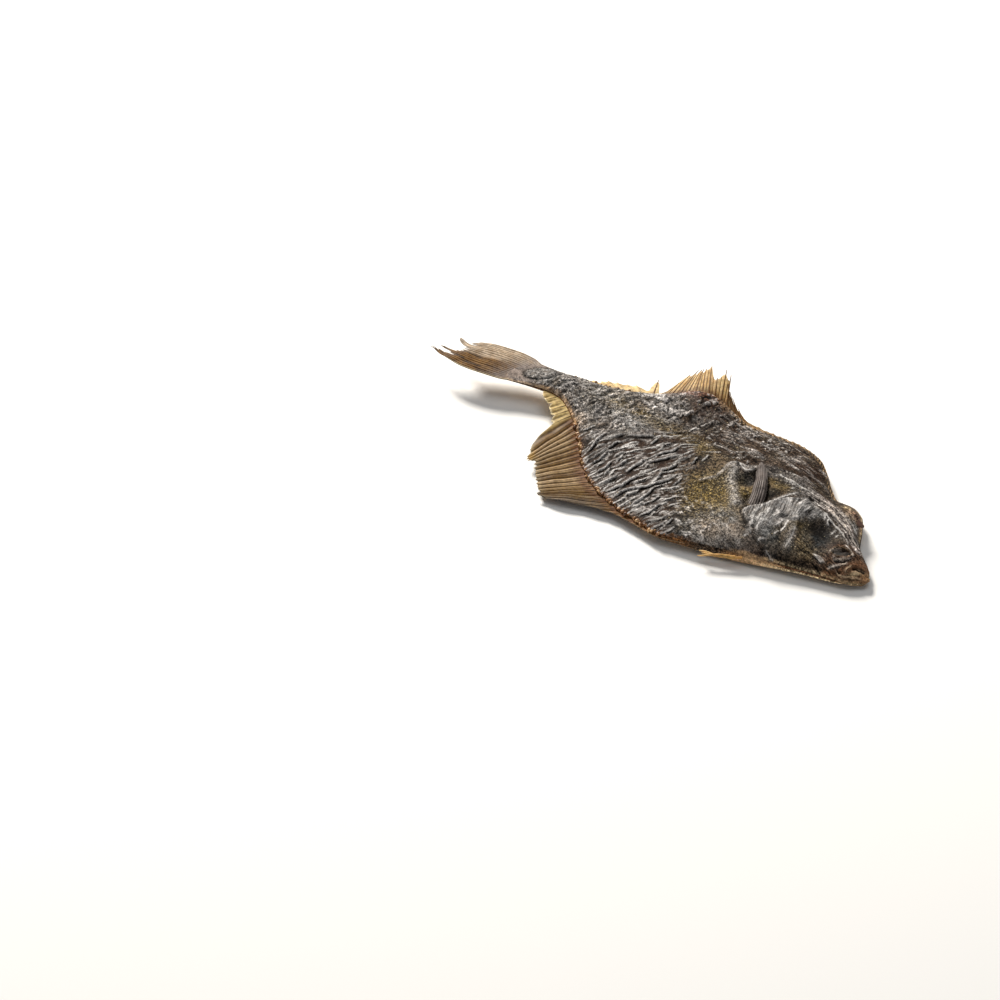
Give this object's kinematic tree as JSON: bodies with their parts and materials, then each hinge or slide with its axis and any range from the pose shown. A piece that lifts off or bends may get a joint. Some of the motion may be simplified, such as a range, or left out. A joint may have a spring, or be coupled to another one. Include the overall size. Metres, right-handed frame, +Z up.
{
  "type": "dried flounder",
  "caption": "Whole dried flatfish lying on its blind side, with wrinkled skin, a curled back edge, ragged ribbed fins, a bent tail fin and both eyes on the upper side.",
  "frame": {"origin": "on the ground under the middle of the fish's box", "axes": "+X from tail to snout, +Y from belly fin to back fin, +Z up out of the eyed side"},
  "size_m": [0.201, 0.0942, 0.0142],
  "materials": {
    "dried_skin": "satin",
    "dried_fin": "satin",
    "dried_eye": "satin"
  },
  "bodies": {
    "root": {"dried_flounder": "dried_skin"}
  },
  "joints": []
}
